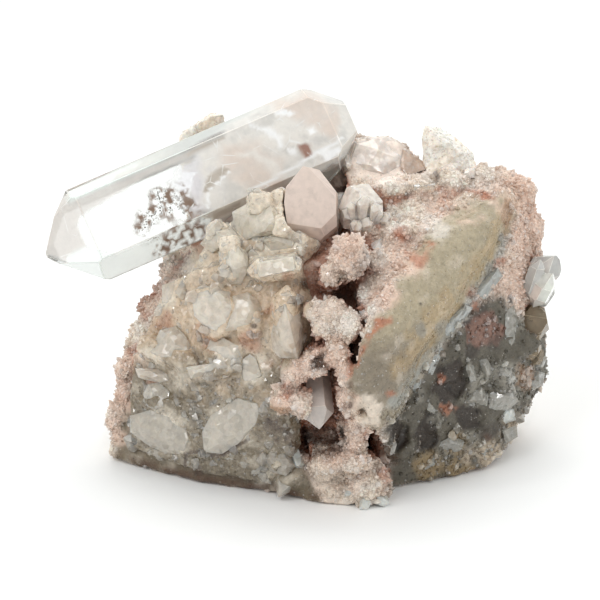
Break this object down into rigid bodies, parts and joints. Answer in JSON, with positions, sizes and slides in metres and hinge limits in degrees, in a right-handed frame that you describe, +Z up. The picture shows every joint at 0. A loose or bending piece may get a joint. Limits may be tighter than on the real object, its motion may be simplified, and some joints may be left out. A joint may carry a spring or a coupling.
{
  "type": "quartz cluster",
  "caption": "quartz cluster: a large clear quartz crystal lying on pink drusy host rock, with a glassy crust on the left and a cream ledge on the right",
  "frame": {"origin": "middle of the bounding box, on the flat break that the cluster rests on", "axes": "+X to the right along the cluster's length, +Y away from the side that shows best, +Z up"},
  "size_m": [0.1034, 0.0684, 0.0731],
  "materials": {
    "host_rock": "rough",
    "crust_quartz": "milky",
    "clear_quartz": "clear",
    "rose_quartz": "milky",
    "cream_mineral": "frosted",
    "smoky_quartz": "smoky"
  },
  "bodies": {
    "root": {"matrix": "host_rock", "crystal_crust": "crust_quartz", "main_crystal": "clear_quartz", "rose_crystal": "rose_quartz", "clear_crystal": "clear_quartz", "cream_crystal": "cream_mineral", "perched_crystal": "cream_mineral", "edge_crystal": "clear_quartz", "smoky_crystal": "smoky_quartz", "cleft_crystal": "clear_quartz"}
  },
  "joints": []
}
